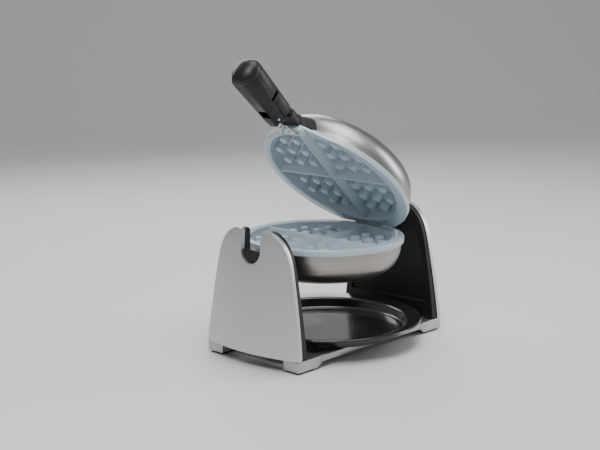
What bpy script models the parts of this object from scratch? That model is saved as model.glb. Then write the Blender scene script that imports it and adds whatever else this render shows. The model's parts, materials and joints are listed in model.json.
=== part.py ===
"""Rotating waffle maker: a stand with a drip tray, and a two-part round head that flips over.

Sizes are in millimetres and are turned into metres where the geometry is made. +X runs from the
handle side to the hinge side, -Y is the front, +Z is up. The lid stands open at rest.
"""
import math

import bmesh
import bpy
from mathutils import Matrix, Vector

MM = 0.001

# Driving dimensions
FRAME_SHIFT_X = -4.0        # puts the middle of the whole object's box on the origin
GAP = 0.3                   # running gap between neighbouring pieces
RIM_RADIUS = 115.0          # outer rim of both plates
RIM_BAND = 8.15             # height of the rim's side band
WELL_RADIUS = 100.2         # lip of the waffle well
WELL_FLOOR_RADIUS = 93.0
WELL_DEPTH = 17.0
WELL_X = -5.45              # the well sits off the rim's centre, away from the hinge
PARTING_Z = 158.2           # height of the plane between the plates, and of the flip axis
PLATE_WALL = 3.0
BUMP_PITCH = 25.0
BUMP_HEIGHT = 12.0
BUMP_RADIUS = 9.5
BUMP_TOP_RADIUS = 7.0
RIDGE_WIDTH = 15.0
RIDGE_TOP = 3.0
RIDGE_DROP = 1.2            # ridge crests stop this far below the parting plane
DOME_RADIUS = 111.0
DOME_SHEET = 1.0
DOME_PROFILE = [(111.0, -10.0), (110.2, -20.0), (106.6, -31.0), (98.5, -42.5), (84.5, -51.5),
                (62.0, -57.0), (0.0, -59.0)]
HINGE_X, HINGE_Z = 104.7, 166.3
LID_ANGLE = 43.4            # how far the lid stands open at rest, in degrees
KNUCKLE_RADIUS = 5.2
KNUCKLE_HALF = 24.5
EAR_OUTER = 48.0
PIN_RADIUS = 2.0
JOURNAL_RADIUS = 17.3       # half collars that turn in the left stand's notch
NOTCH_RADIUS = 18.0
SHAFT_RADIUS, SHAFT_BORE = 6.5, 4.0
STAND_MIDDLE_X = 10.65
STAND_HALF_LENGTH = 157.45  # from the stands' middle to the bottom corners of either outer face
STAND_HALF_WIDTH = 86.0
STAND_BOTTOM_Z, STAND_TOP_Z = 18.5, 189.0
STAND_BOW = 14.0            # how far an outer face swells between its two edges
STAND_LEAN = 11.0           # how far it leans in from the bottom up to the flip axis
SHOULDER_Z = 130.0
SHOULDER_POWER = 3.1
SKIN = 1.0                  # sheet of the silver stand shells
SKIRT = 7.0
COVER_WALL = 2.2
INNER_FACE = 139.5          # from the stands' middle to the covers' inner faces
FOOT_REACH = 157.6          # from the stands' middle to the feet's outer ends
FOOT_LENGTH, FOOT_WIDTH = 39.5, 28.0
PAD_HEIGHT = 3.0
BAR_BOTTOM_Z = 9.3
TRAY_RADIUS = 135.5
TRAY_RIM_Z = 38.0
TRAY_BOTTOM_Z = 18.9
HANDLE_ROOT_X, HANDLE_TIP_X = -155.0, -259.5
HANDLE_Z = 155.8
FOLD_X, FOLD_Z = -162.0, 143.0
TAB_EDGE_X = -128.4         # the lid's front tab reaches this far and hangs this deep
TAB_DEPTH = 6.0
TAB_CORNER = 8.0
CLIP_TIP_X = -139.0
DIAL_Z = 75.0
DIAL_RADIUS = 19.0

PARTS = bpy.data.collections.new("waffle_maker")
CUTTERS = bpy.data.collections.new("waffle_maker_cutters")


# ---------------------------------------------------------------- scene and object helpers

def clear_scene():
    for obj in list(bpy.data.objects):
        bpy.data.objects.remove(obj, do_unlink=True)
    for collection in (PARTS, CUTTERS):
        bpy.context.scene.collection.children.link(collection)


def material(name, colour, roughness, metallic=0.0):
    """A Principled material of one colour."""
    mat = bpy.data.materials.new(name)
    mat.use_nodes = True
    shader = mat.node_tree.nodes["Principled BSDF"]
    shader.inputs["Base Color"].default_value = (*colour, 1.0)
    shader.inputs["Roughness"].default_value = roughness
    shader.inputs["Metallic"].default_value = metallic
    return mat


def empty(name, place, parent=None, turn_y=0.0):
    """An empty at a place given in its parent's millimetres."""
    obj = bpy.data.objects.new(name, None)
    obj.parent = parent
    obj.location = Vector(place) * MM
    obj.rotation_euler = (0.0, turn_y, 0.0)
    PARTS.objects.link(obj)
    return obj


def add_mesh(name, bm, mat=None, parent=None, origin=(0, 0, 0)):
    """Make an object of a bmesh in millimetres, with its origin at the given point."""
    bm.transform(Matrix.Scale(MM, 4) @ Matrix.Translation(-Vector(origin)))
    mesh = bpy.data.meshes.new(name)
    bm.to_mesh(mesh)
    bm.free()
    mesh.shade_smooth()
    mesh.set_sharp_from_angle(angle=math.radians(35))
    return add_object(name, mesh, mat, parent, origin)


def add_object(name, data, mat, parent, origin=(0, 0, 0)):
    obj = bpy.data.objects.new(name, data)
    obj.location = Vector(origin) * MM
    if mat is None:
        CUTTERS.objects.link(obj)
        obj.hide_render = True
        obj.display_type = "WIRE"
    else:
        data.materials.append(mat)
        PARTS.objects.link(obj)
    obj.parent = parent
    return obj


def combine(obj, tool, operation):
    """Add a Boolean of another object to a piece; the tool moves with the piece's parent."""
    tool.parent = obj.parent
    if tool.name in PARTS.objects:
        PARTS.objects.unlink(tool)
        CUTTERS.objects.link(tool)
    tool.hide_render = True
    tool.display_type = "WIRE"
    step = obj.modifiers.new(tool.name, "BOOLEAN")
    step.operation = operation
    step.solver = "EXACT"
    step.object = tool
    return obj


def cut(obj, tool):
    return combine(obj, tool, "DIFFERENCE")


def join(obj, tool):
    return combine(obj, tool, "UNION")


def keep(obj, tool):
    return combine(obj, tool, "INTERSECT")


# ---------------------------------------------------------------- shape helpers, in millimetres

def box(low, high, bm=None):
    """A box between two corners, in a new bmesh or added to the given one."""
    bm = bm or bmesh.new()
    low, high = Vector(low), Vector(high)
    matrix = Matrix.Translation((low + high) / 2) @ Matrix.Diagonal((*(high - low), 1.0))
    bmesh.ops.create_cube(bm, size=1.0, matrix=matrix)
    return bm


def rod(start, end, radius, end_radius=None, segments=24, bm=None):
    """A cylinder, or a cone with two radii, from one point to another."""
    bm = bm or bmesh.new()
    start, end = Vector(start), Vector(end)
    turn = (end - start).to_track_quat("Z", "Y").to_matrix().to_4x4()
    matrix = Matrix.Translation((start + end) / 2) @ turn
    bmesh.ops.create_cone(bm, cap_ends=True, segments=segments, radius1=radius,
                          radius2=radius if end_radius is None else end_radius,
                          depth=(end - start).length, matrix=matrix)
    return bm


def turned(name, profile, mat=None, parent=None, place=(0, 0, 0), segments=48):
    """A solid turned about Z from (radius, height) points that run down its outer side."""
    mesh = bpy.data.meshes.new(name)
    bm = bmesh.new()
    points = [bm.verts.new((r * MM, 0.0, z * MM)) for r, z in profile]
    for a, b in zip(points, points[1:]):
        bm.edges.new((a, b))
    bm.to_mesh(mesh)
    bm.free()
    obj = add_object(name, mesh, mat, parent, place)
    screw = obj.modifiers.new("turn", "SCREW")
    screw.steps = screw.render_steps = segments
    screw.use_merge_vertices = True
    screw.merge_threshold = 0.00001
    screw.use_smooth_shade = True
    return obj


def outline_prism(name, points, low, high, mat=None, parent=None, plane="YZ"):
    """A flat outline given a thickness: YZ outlines run along X, XZ ones along Y, XY along Z."""
    curve = bpy.data.curves.new(name, "CURVE")
    curve.dimensions = "2D"
    curve.fill_mode = "BOTH"
    curve.extrude = (high - low) / 2 * MM
    spline = curve.splines.new("POLY")
    spline.points.add(len(points) - 1)
    for point, (u, v) in zip(spline.points, points):
        point.co = (u * MM, v * MM, 0.0, 1.0)
    spline.use_cyclic_u = True
    middle = (low + high) / 2 * MM
    turn = {
        "YZ": Matrix(((0, 0, 1, middle), (1, 0, 0, 0), (0, 1, 0, 0), (0, 0, 0, 1))),
        "XZ": Matrix(((1, 0, 0, 0), (0, 0, -1, middle), (0, 1, 0, 0), (0, 0, 0, 1))),
        "XY": Matrix.Translation((0, 0, middle)),
    }[plane]
    obj = mesh_of_curve(name, curve, mat, parent)
    obj.data.transform(turn)
    return obj


def mesh_of_curve(name, curve, mat, parent):
    """Turn a curve into a mesh object with welded caps."""
    guide = bpy.data.objects.new(name + "_guide", curve)
    bpy.context.scene.collection.objects.link(guide)
    depsgraph = bpy.context.evaluated_depsgraph_get()
    mesh = bpy.data.meshes.new_from_object(guide.evaluated_get(depsgraph))
    bpy.data.objects.remove(guide, do_unlink=True)
    mesh.name = name
    mesh.materials.clear()
    bm = bmesh.new()
    bm.from_mesh(mesh)
    bmesh.ops.remove_doubles(bm, verts=bm.verts, dist=0.00001)
    bmesh.ops.recalc_face_normals(bm, faces=bm.faces)
    bm.to_mesh(mesh)
    bm.free()
    mesh.shade_smooth()
    mesh.set_sharp_from_angle(angle=math.radians(35))
    return add_object(name, mesh, mat, parent)


def wire(name, points, radius, mat, parent, sides=8):
    """A bent rod or tube through the given points."""
    curve = bpy.data.curves.new(name, "CURVE")
    curve.dimensions = "3D"
    curve.bevel_depth = radius * MM
    curve.bevel_resolution = sides // 4
    curve.use_fill_caps = True
    spline = curve.splines.new("POLY")
    spline.points.add(len(points) - 1)
    for point, place in zip(spline.points, points):
        point.co = (*(Vector(place) * MM), 1.0)
    return mesh_of_curve(name, curve, mat, parent)


def bevel(obj, width, segments=2, angle=30.0):
    step = obj.modifiers.new("soften", "BEVEL")
    step.width = width * MM
    step.segments = segments
    step.limit_method = "ANGLE"
    step.angle_limit = math.radians(angle)
    return obj


def arc(centre, radius, start, end, steps):
    """Points along an arc in a plane, angles in degrees."""
    angles = [math.radians(start + (end - start) * i / steps) for i in range(steps + 1)]
    return [(centre[0] + radius * math.cos(a), centre[1] + radius * math.sin(a)) for a in angles]


# ---------------------------------------------------------------- stand panels

def stand_half_width(z):
    """Half the panel's width at a height: a slightly convex side under a rounded shoulder."""
    side = STAND_HALF_WIDTH - 20.0 * ((z - STAND_BOTTOM_Z) / 127.5) ** 1.25
    rise = max(0.0, (z - SHOULDER_Z) / (STAND_TOP_Z - SHOULDER_Z))
    return side * (1.0 - rise ** SHOULDER_POWER) ** (1.0 / SHOULDER_POWER)


def side_heights():
    """Heights down one side of the panel's outline, from just off the middle of the top."""
    span = STAND_TOP_Z - SHOULDER_Z
    turns = [math.radians(a) for a in (82, 72, 61, 50, 39, 27, 14)]
    shoulder = [SHOULDER_Z + span * math.sin(a) ** (2.0 / SHOULDER_POWER) for a in turns]
    return shoulder + [SHOULDER_Z, 110.0, 86.0, 60.0, 38.0, STAND_BOTTOM_Z]


def inset(points, distance, closed=True):
    """Move an outline, listed clockwise, inwards by a distance; an open one ends on a flat base."""
    moved = []
    for i, p in enumerate(points):
        before, after = Vector(points[i - 1]), Vector(points[(i + 1) % len(points)])
        if not closed and i == 0:
            before = Vector(p) + Vector((1.0, 0.0) if p[0] < 0 else (-1.0, 0.25))
        if not closed and i == len(points) - 1:
            after = Vector(p) + Vector((-1.0, 0.0) if p[0] > 0 else (1.0, 0.25))
        into, out = (Vector(p) - before).normalized(), (after - Vector(p)).normalized()
        n1, n2 = Vector((into.y, -into.x)), Vector((out.y, -out.x))
        mitre = (n1 + n2).normalized()
        moved.append(tuple(Vector(p) + mitre * (distance / max(0.4, mitre.dot(n1)))))
    return moved


def stand_outline(distance=0.0, notched=False):
    """The panel's outline in Y and Z, drawn in by a distance, with or without the U notch."""
    heights = side_heights()
    right = [(stand_half_width(z), z) for z in heights]
    left = [(-y, z) for y, z in reversed(right)]
    if notched:
        right, left = right[1:], left[:-1]
        reach = NOTCH_RADIUS + distance
        corner = STAND_TOP_Z - 2.6 - distance
        notch = [(-reach, corner)] + arc((0.0, PARTING_Z), reach, 180, 360, 16) + [(reach, corner)]
        return inset(left, distance, False) + notch + inset(right, distance, False)
    return inset(left + [(0.0, STAND_TOP_Z)] + right, distance)


def outer_face(side, y, z):
    """X of a stand's outer face; side is -1 on the handle side and +1 on the hinge side."""
    lean = STAND_LEAN * (z - STAND_BOTTOM_Z) / (PARTING_Z - STAND_BOTTOM_Z)
    reach = STAND_HALF_LENGTH + STAND_BOW * (1.0 - (y / STAND_HALF_WIDTH) ** 2) - lean
    return STAND_MIDDLE_X + side * reach


def bowed_slab(name, side, depth, thickness, inner=None):
    """A slab that follows the outer face at a depth, of a thickness or down to a flat X."""
    bm = bmesh.new()
    bmesh.ops.create_grid(bm, x_segments=12, y_segments=4, size=1.0)
    for vert in bm.verts:
        y, z = vert.co.x * (STAND_HALF_WIDTH + 8.0), 102.0 + vert.co.y * 96.0
        vert.co = (outer_face(side, y, z) - side * depth, y, z)
    made = bmesh.ops.extrude_face_region(bm, geom=bm.faces[:])
    for vert in [v for v in made["geom"] if isinstance(v, bmesh.types.BMVert)]:
        vert.co.x = vert.co.x - side * thickness if inner is None else inner
    bmesh.ops.recalc_face_normals(bm, faces=bm.faces)
    return add_mesh(name, bm)


def stand_shell(name, side, notched, mat, parent):
    """The stamped silver panel: a shallow pan with its skirt turned inwards."""
    shell = bowed_slab(name, side, 0.0, SKIRT)
    CUTTERS.objects.unlink(shell)
    PARTS.objects.link(shell)
    shell.hide_render, shell.display_type = False, "TEXTURED"
    shell.data.materials.append(mat)
    shell.parent = parent
    lo, hi = sorted((STAND_MIDDLE_X + side * 100.0, STAND_MIDDLE_X + side * 190.0))
    keep(shell, outline_prism(name + "_outline", stand_outline(0.0, notched), lo, hi))
    hollow = bowed_slab(name + "_hollow", side, SKIN, SKIRT + 6.0)
    keep(hollow, outline_prism(name + "_inside", stand_outline(SKIN, notched), lo, hi))
    return cut(shell, hollow)


def inner_cover(name, side, notched, mat, parent):
    """The black moulded cover inside a stand: a deeper pan that opens towards the panel."""
    face = STAND_MIDDLE_X + side * INNER_FACE
    edge = SKIN + GAP
    cover = bowed_slab(name, side, SKIN + GAP, 0.0, inner=face)
    CUTTERS.objects.unlink(cover)
    PARTS.objects.link(cover)
    cover.hide_render, cover.display_type = False, "TEXTURED"
    cover.data.materials.append(mat)
    cover.parent = parent
    lo, hi = sorted((STAND_MIDDLE_X + side * 100.0, STAND_MIDDLE_X + side * 190.0))
    keep(cover, outline_prism(name + "_outline", stand_outline(edge, notched), lo, hi))
    floor = COVER_WALL if notched else 3.4 + COVER_WALL
    lo, hi = sorted((face + side * floor, STAND_MIDDLE_X + side * 190.0))
    outline = stand_outline(edge + COVER_WALL, notched)
    return cut(cover, outline_prism(name + "_inside", outline, lo, hi))


# ---------------------------------------------------------------- base

def build_stands(mats, base):
    stand_shell("left_stand_shell", -1, True, mats["silver"], base)
    stand_shell("right_stand_shell", 1, False, mats["silver"], base)
    inner_cover("left_inner_cover", -1, True, mats["black"], base)
    cover = inner_cover("right_inner_cover", 1, False, mats["black"], base)
    face = STAND_MIDDLE_X + INNER_FACE
    recess = [p for p in stand_outline(11.0) if p[1] > STAND_BOTTOM_Z + 20.0]
    recess = [(-70.0, 42.0)] + recess + [(70.0, 42.0)]
    cut(cover, outline_prism("cover_recess", recess, face - 1.0, face + 3.4))
    cut(cover, add_mesh("cover_hole", rod((140, 0, PARTING_Z), (170, 0, PARTING_Z), 12.3)))


def build_feet(mats, base):
    """Front and rear bars, four foot blocks with slanted inner ends, and their rubber pads."""
    for end, sign in (("front", -1), ("rear", 1)):
        outer_y = sign * (STAND_HALF_WIDTH - 0.3)
        inner_y = outer_y - sign * 11.0
        ys = sorted((outer_y, inner_y))
        reach = FOOT_REACH - FOOT_LENGTH - 9.6
        bar = box((STAND_MIDDLE_X - reach, ys[0], BAR_BOTTOM_Z),
                  (STAND_MIDDLE_X + reach, ys[1], STAND_BOTTOM_Z))
        bevel(add_mesh(end + "_bar", bar, mats["silver"], base), 0.8, 2)
        for name, side in (("left", -1), ("right", 1)):
            outer, step = FOOT_REACH, FOOT_REACH - FOOT_LENGTH
            profile = [(outer, PAD_HEIGHT), (outer, STAND_BOTTOM_Z - GAP),
                       (step - 9.3, STAND_BOTTOM_Z - GAP), (step - 9.3, BAR_BOTTOM_Z),
                       (step, PAD_HEIGHT)]
            outline = [(STAND_MIDDLE_X + side * x, z) for x, z in profile]
            ys = sorted((outer_y, outer_y - sign * FOOT_WIDTH))
            foot = outline_prism(f"foot_{end}_{name}", outline, *ys, mats["silver"], base, "XZ")
            bevel(foot, 0.8, 2)
            xs = sorted(STAND_MIDDLE_X + side * x for x in (outer - 3.0, step + 5.0))
            pad = box((xs[0], ys[0] + 3.0, 0.0), (xs[1], ys[1] - 3.0, PAD_HEIGHT - GAP))
            bevel(add_mesh(f"foot_pad_{end}_{name}", pad, mats["rubber"], base), 0.6, 1)
        screw_y = sign * (STAND_HALF_WIDTH - 0.3 + GAP)
        head = rod((STAND_MIDDLE_X, screw_y, 13.9), (STAND_MIDDLE_X, screw_y + sign * 1.2, 13.9),
                   3.2, 2.2, 16)
        add_mesh(end + "_bar_screw", head, mats["steel"], base)


def build_controls(mats, base):
    """What the hinge side's stand carries: bush, control, lamps, terminal block and cord gland."""
    face = STAND_MIDDLE_X + INNER_FACE
    z = PARTING_Z
    bush = add_mesh("trunnion_bush", rod((face, 0, z), (face + 9.0, 0, z), 12.0, segments=32),
                    mats["nylon"], base)
    join(bush, add_mesh("bush_flange", rod((face - 1.0, 0, z), (face + 3.1, 0, z), 16.0, segments=32)))
    cut(bush, add_mesh("bush_bore", rod((140, 0, z), (170, 0, z), SHAFT_RADIUS + GAP)))
    panel = outer_face(1, 0.0, DIAL_Z)
    switch = box((panel - 20.0, -16, DIAL_Z - 16), (panel - 6.0, 16, DIAL_Z + 16))
    bevel(add_mesh("control_switch", switch, mats["nylon"], base), 1.5, 1)
    block = box((panel - 20.0, -52, 40), (panel - 10.0, -24, 54))
    add_mesh("terminal_block", block, mats["nylon"], base)
    for name, y in (("power_lamp", -12.0), ("ready_lamp", 12.0)):
        z = DIAL_Z + 34.0
        x = outer_face(1, y, z)
        lens = rod((x + 0.4, y, z), (x + 2.6, y, z), 4.0, 3.0, 20)
        add_mesh(name, lens, mats["red_lens" if name == "power_lamp" else "green_lens"], base)
    y, z = 46.0, 36.0
    x = outer_face(1, y - 8.0, z - 8.0)
    gland = rod((x + 0.4, y, z), (x + 5.0, y, z), 8.0, 6.5, 20)
    add_mesh("cord_gland", gland, mats["black"], base)
    cut(bpy.data.objects["cord_gland"],
        add_mesh("gland_hole", rod((x - 2, y, z), (x + 8, y, z), 3.6, segments=16)))


def build_dial(mats, dial):
    """Rotary temperature control with a pointer ridge, on its shaft's axis."""
    x = outer_face(1, 0.0, DIAL_Z - DIAL_RADIUS) + 0.4
    body = rod((x, 0, DIAL_Z), (x + 8.0, 0, DIAL_Z), DIAL_RADIUS, DIAL_RADIUS - 2.0, 40)
    knob = add_mesh("temperature_dial", body, mats["black"], dial, (x, 0, DIAL_Z))
    knob.location = (0.0, 0.0, 0.0)
    grip = box((x + 6.0, -3.0, DIAL_Z - 14.0), (x + 10.5, 3.0, DIAL_Z + 14.0))
    tool = add_mesh("dial_grip", grip, None, None, (x, 0, DIAL_Z))
    tool.location = (0.0, 0.0, 0.0)
    join(knob, tool)


def build_tray(mats, tray):
    """Round drip tray: flat floor, a well wall and a wide sloping rim with a rolled edge."""
    z = TRAY_BOTTOM_Z
    profile = [(0.0, z + 1.6), (106.0, z + 1.6), (110.0, z + 3.4), (114.6, z + 14.2), (117.5, z + 15.8),
               (TRAY_RADIUS - 3.0, TRAY_RIM_Z), (TRAY_RADIUS - 0.8, TRAY_RIM_Z - 0.6),
               (TRAY_RADIUS, TRAY_RIM_Z - 3.0), (TRAY_RADIUS - 1.6, TRAY_RIM_Z - 3.0),
               (TRAY_RADIUS - 3.6, TRAY_RIM_Z - 1.8), (118.0, z + 13.8), (115.8, z + 12.6),
               (111.4, z + 2.0), (107.0, z), (0.0, z)]
    turned("drip_tray", profile, mats["gloss_black"], tray, segments=56)


# ---------------------------------------------------------------- head

def bump_places():
    """Centres of the waffle bumps about the well's middle, on a square grid in each quarter."""
    steps = [23.5 + BUMP_PITCH * i for i in range(3)]
    for x in steps:
        for y in steps:
            if math.hypot(x, y) < 89.0:
                for sx in (-1, 1):
                    for sy in (-1, 1):
                        yield sx * x, sy * y


def plate_blank(name, mat, parent):
    """A grid plate with its well opening up at height 0: rim with a skirt, bowl, bumps, ridges."""
    rim = [(0.0, 0.0), (RIM_RADIUS - 1.0, 0.0), (RIM_RADIUS, -1.0), (RIM_RADIUS, -RIM_BAND),
           (DOME_RADIUS + 1.0, -RIM_BAND), (DOME_RADIUS + 1.0, -PLATE_WALL), (0.0, -PLATE_WALL)]
    plate = turned(name, rim, mat, parent, segments=56)
    low = -WELL_DEPTH - PLATE_WALL
    bowl = [(0.0, -1.0), (WELL_RADIUS + 2.5, -1.0), (WELL_FLOOR_RADIUS + 3.0, low), (0.0, low)]
    join(plate, turned(name + "_bowl", bowl, place=(WELL_X, 0, 0), segments=56))
    well = [(0.0, 2.0), (WELL_RADIUS + 0.8, 2.0), (WELL_RADIUS, 0.0), (WELL_FLOOR_RADIUS, -WELL_DEPTH),
            (0.0, -WELL_DEPTH)]
    cut(plate, turned(name + "_well", well, place=(WELL_X, 0, 0), segments=56))
    bumps = bmesh.new()
    foot, top = -WELL_DEPTH - 1.0, -WELL_DEPTH + BUMP_HEIGHT
    for x, y in bump_places():
        rod((WELL_X + x, y, foot), (WELL_X + x, y, top), BUMP_RADIUS, BUMP_TOP_RADIUS, 6, bumps)
    join(plate, add_mesh(name + "_bumps", bumps))
    half, crest = RIDGE_WIDTH / 2, RIDGE_TOP / 2
    section = [(-half, foot), (half, foot), (crest, -RIDGE_DROP), (-crest, -RIDGE_DROP)]
    reach = WELL_RADIUS - 1.0
    along_x = outline_prism(name + "_ridge_x", section, WELL_X - reach, WELL_X + reach)
    section = [(WELL_X + u, v) for u, v in section]
    along_y = outline_prism(name + "_ridge_y", section, -reach, reach, plane="XZ")
    join(plate, along_x)
    return join(plate, along_y)


def dome(name, mat, parent):
    """A stainless cover under a plate whose parting plane is at height 0."""
    profile = [(DOME_RADIUS, -PLATE_WALL - GAP)] + DOME_PROFILE
    shell = turned(name, profile, mat, parent, segments=48)
    solid = shell.modifiers.new("sheet", "SOLIDIFY")
    solid.thickness = DOME_SHEET * MM
    solid.offset = -1.0
    return shell


def dome_envelope(name, parent):
    """The outside of a closed dome and rim with a running gap, to cut neighbours to fit."""
    g = GAP
    profile = [(0.0, 0.5), (RIM_RADIUS + g, 0.5), (RIM_RADIUS + g, -RIM_BAND - g),
               (DOME_RADIUS + g, -RIM_BAND - g)]
    profile += [(r + g if r else r, z) for r, z in DOME_PROFILE]
    return turned(name, profile, None, parent, segments=48)


def tab_outline():
    """The lid's front tab in X and Y: a rounded tongue that reaches out over the collars."""
    corner = arc((TAB_EDGE_X + TAB_CORNER, 22.0), TAB_CORNER, 95, 180, 4)
    side = [(-104.0, 43.0)] + corner
    return side + [(x, -y) for x, y in reversed(side)]


def half_collar(name, mat, parent):
    """Half a journal below height 0 that flares into the dome, for the notch of the left stand."""
    bm = rod((-147.0, 0, 0), (-100.0, 0, 0), JOURNAL_RADIUS, segments=32)
    collar = add_mesh(name, bm, mat, parent)
    flare = rod((-119.0, 0, 0), (-104.0, 0, 0), JOURNAL_RADIUS, 33.0, 32)
    join(collar, add_mesh(name + "_flare", flare))
    cut(collar, add_mesh(name + "_upper_half", box((-160, -50, -0.15), (-90, 50, 50))))
    return cut(collar, dome_envelope(name + "_envelope", parent))


def heater(name, parent, mats):
    """Tubular element: an open ring under the plate with its ends turned towards the hinge."""
    ring = [(WELL_X + 66 * math.cos(math.radians(a)), 66 * math.sin(math.radians(a)), -24.5)
            for a in range(12, 349, 14)]
    points = [(86.0, 13.7, -28.0)] + ring + [(86.0, -13.7, -28.0)]
    return wire(name, points, 3.3, mats["steel"], parent)


def build_lower_head(mats, head):
    plate = plate_blank("lower_plate", mats["ceramic"], head)
    seat = box((100.0 - GAP, -KNUCKLE_HALF - GAP, -1.0), (HINGE_X + 20, KNUCKLE_HALF + GAP, 3.0))
    cut(plate, add_mesh("bracket_seat", seat))
    dome("lower_dome", mats["brushed"], head)
    collar = half_collar("lower_collar", mats["black"], head)
    recess = box((CLIP_TIP_X - 1.5, -46, -TAB_DEPTH - 3.5), (-90, 46, 1.0))
    cut(collar, add_mesh("collar_recess", recess))
    heater("lower_heating_element", head, mats)
    bevel(add_mesh("thermostat", rod((-5, 0, -33), (-5, 0, -20.4), 12, segments=24),
                   mats["steel"], head), 0.8, 1)
    add_mesh("thermal_fuse", rod((20, 26, -23.7), (44, 26, -23.7), 3.0, segments=12),
             mats["nylon"], head)
    hinge = (HINGE_X, 0, HINGE_Z - PARTING_Z)
    y = KNUCKLE_HALF
    bracket = add_mesh("hinge_bracket", rod((hinge[0], -y, hinge[2]), (hinge[0], y, hinge[2]),
                                            KNUCKLE_RADIUS), mats["hinge_metal"], head)
    join(bracket, add_mesh("bracket_web", box((100, -y, -0.7), (109.2, y, hinge[2]))))
    join(bracket, add_mesh("bracket_leg", box((105, -16, -0.7), (124, 16, 3.0))))
    join(bracket, add_mesh("bracket_block", box((110, -16, -22), (124, 16, 1.5))))
    body = dome_envelope("bracket_envelope", head)
    cut(body, add_mesh("bracket_envelope_seat", box((99.0, -25.0, -1.0), (130, 25.0, 3.0))))
    cut(bracket, body)
    cut(bracket, add_mesh("bracket_pin_hole", rod((hinge[0], -40, hinge[2]), (hinge[0], 40, hinge[2]),
                                                  PIN_RADIUS + GAP, segments=16)))
    cut(bracket, add_mesh("bracket_socket", rod((118, 0, 0), (130, 0, 0), SHAFT_RADIUS + GAP)))
    shaft = add_mesh("trunnion_shaft", rod((118.3, 0, 0), (164, 0, 0), SHAFT_RADIUS),
                     mats["steel"], head)
    cut(shaft, add_mesh("shaft_bore", rod((110, 0, 0), (170, 0, 0), SHAFT_BORE, segments=16)))
    ring = add_mesh("trunnion_retainer", rod((159.6, 0, 0), (161.6, 0, 0), 10.5), mats["steel"], head)
    cut(ring, add_mesh("retainer_bore", rod((150, 0, 0), (170, 0, 0), SHAFT_RADIUS + GAP)))


# ---------------------------------------------------------------- lid, in closed position

def build_lid(mats, flipped, lid):
    """The upper half; flipped holds plate coordinates upside down, lid the closed frame."""
    plate = plate_blank("upper_plate", mats["ceramic"], flipped)
    hz = -(HINGE_Z - PARTING_Z - GAP)
    inner, outer = KNUCKLE_HALF + GAP, EAR_OUTER
    cut(plate, add_mesh("lid_hinge_cut", box((103.6, -60, -30), (130, 60, 5))))
    cut(plate, add_mesh("lid_knuckle_pocket", box((98.5, -inner, -30), (130, inner, 5))))
    for name, a, b in (("ear_front", inner, outer), ("ear_rear", -outer, -inner)):
        join(plate, add_mesh(name, rod((HINGE_X, a, hz), (HINGE_X, b, hz), KNUCKLE_RADIUS)))
        join(plate, add_mesh(name + "_web", box((99.0, a, hz - 4.6), (HINGE_X, b, -0.2))))
    cut(plate, add_mesh("ear_pin_hole", rod((HINGE_X, -60, hz), (HINGE_X, 60, hz), PIN_RADIUS + GAP,
                                            segments=16)))
    tab = outline_prism("lid_tab", tab_outline(), -PLATE_WALL, TAB_DEPTH, None, flipped, "XY")
    clear = rod((0, 0, 0.0), (0, 0, 30), RIM_RADIUS + 2 * GAP, segments=56)
    cut(tab, add_mesh("tab_clearance", clear))
    for y in (-14.0, 14.0):
        hole = rod((-122.0, y, TAB_DEPTH - 3.0), (-122.0, y, 30), 2.1, segments=12)
        cut(tab, add_mesh(f"tab_hole_{y:+.0f}", hole))
    join(plate, tab)
    for name, sign in (("head_pocket_a", -1), ("head_pocket_b", 1)):
        cut(plate, add_mesh(name, rod((HINGE_X, sign * outer, hz), (HINGE_X, sign * 54, hz), 4.2)))
    cover = dome("upper_dome", mats["brushed"], flipped)
    cut(cover, add_mesh("dome_hinge_notch", box((96, -EAR_OUTER - 1, -14.2), (130, EAR_OUTER + 1, 5))))
    collar = half_collar("upper_collar", mats["black"], flipped)
    recess = box((TAB_EDGE_X - GAP, -46, -PLATE_WALL - GAP), (-90, 46, 1.0))
    cut(collar, add_mesh("upper_collar_recess", recess))
    heater("upper_heating_element", flipped, mats)
    y = EAR_OUTER + 0.4
    pin = rod((HINGE_X, -y - 1.0, HINGE_Z), (HINGE_X, y + 1.0, HINGE_Z), PIN_RADIUS, segments=16)
    pin = add_mesh("hinge_pin", pin, mats["steel"], lid)
    for name, near, far in (("pin_head", y, y + 1.6), ("pin_peen", -y, -y - 1.6)):
        head = rod((HINGE_X, near, HINGE_Z), (HINGE_X, far, HINGE_Z), 3.6, segments=16)
        join(pin, add_mesh(name, head))


def build_handle_bracket(mats, lid):
    """Neck from the upper collar to the fold pin, with the metal tab and its hook below it."""
    z = PARTING_Z
    neck = box((-170, -7, FOLD_Z - 6), (-147.0 - GAP, 7, z + 8))
    neck = add_mesh("handle_neck", neck, mats["black"], lid)
    pocket = box((-151.5, -10, z - 30), (-140, 10, z + 0.4))
    cut(neck, add_mesh("neck_relief", pocket))
    cut(neck, add_mesh("neck_pin_hole", rod((FOLD_X, -20, FOLD_Z), (FOLD_X, 20, FOLD_Z), 2.3,
                                            segments=16)))
    bevel(neck, 0.8, 1, 60)
    pin = rod((FOLD_X, -13.4, FOLD_Z), (FOLD_X, 13.4, FOLD_Z), 2.0, segments=16)
    add_mesh("handle_fold_pin", pin, mats["steel"], lid)
    low = z - TAB_DEPTH - GAP - 1.0
    side = [(-122, 14.5, low + 1.0), (-122, 14.5, low - 0.4), (-126, 11, low - 0.4),
            (CLIP_TIP_X + 1.0, 1.6, low - 0.4)]
    clip = side + [(CLIP_TIP_X, 0, low)] + [(x, -y, z) for x, y, z in reversed(side)]
    wire("neck_clip", clip, 1.0, mats["steel"], lid)


def handle_half_width(x):
    """Half the handle's width, wider towards its tip."""
    return 16.5 + 3.3 * (HANDLE_ROOT_X - x) / (HANDLE_ROOT_X - HANDLE_TIP_X)


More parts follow.
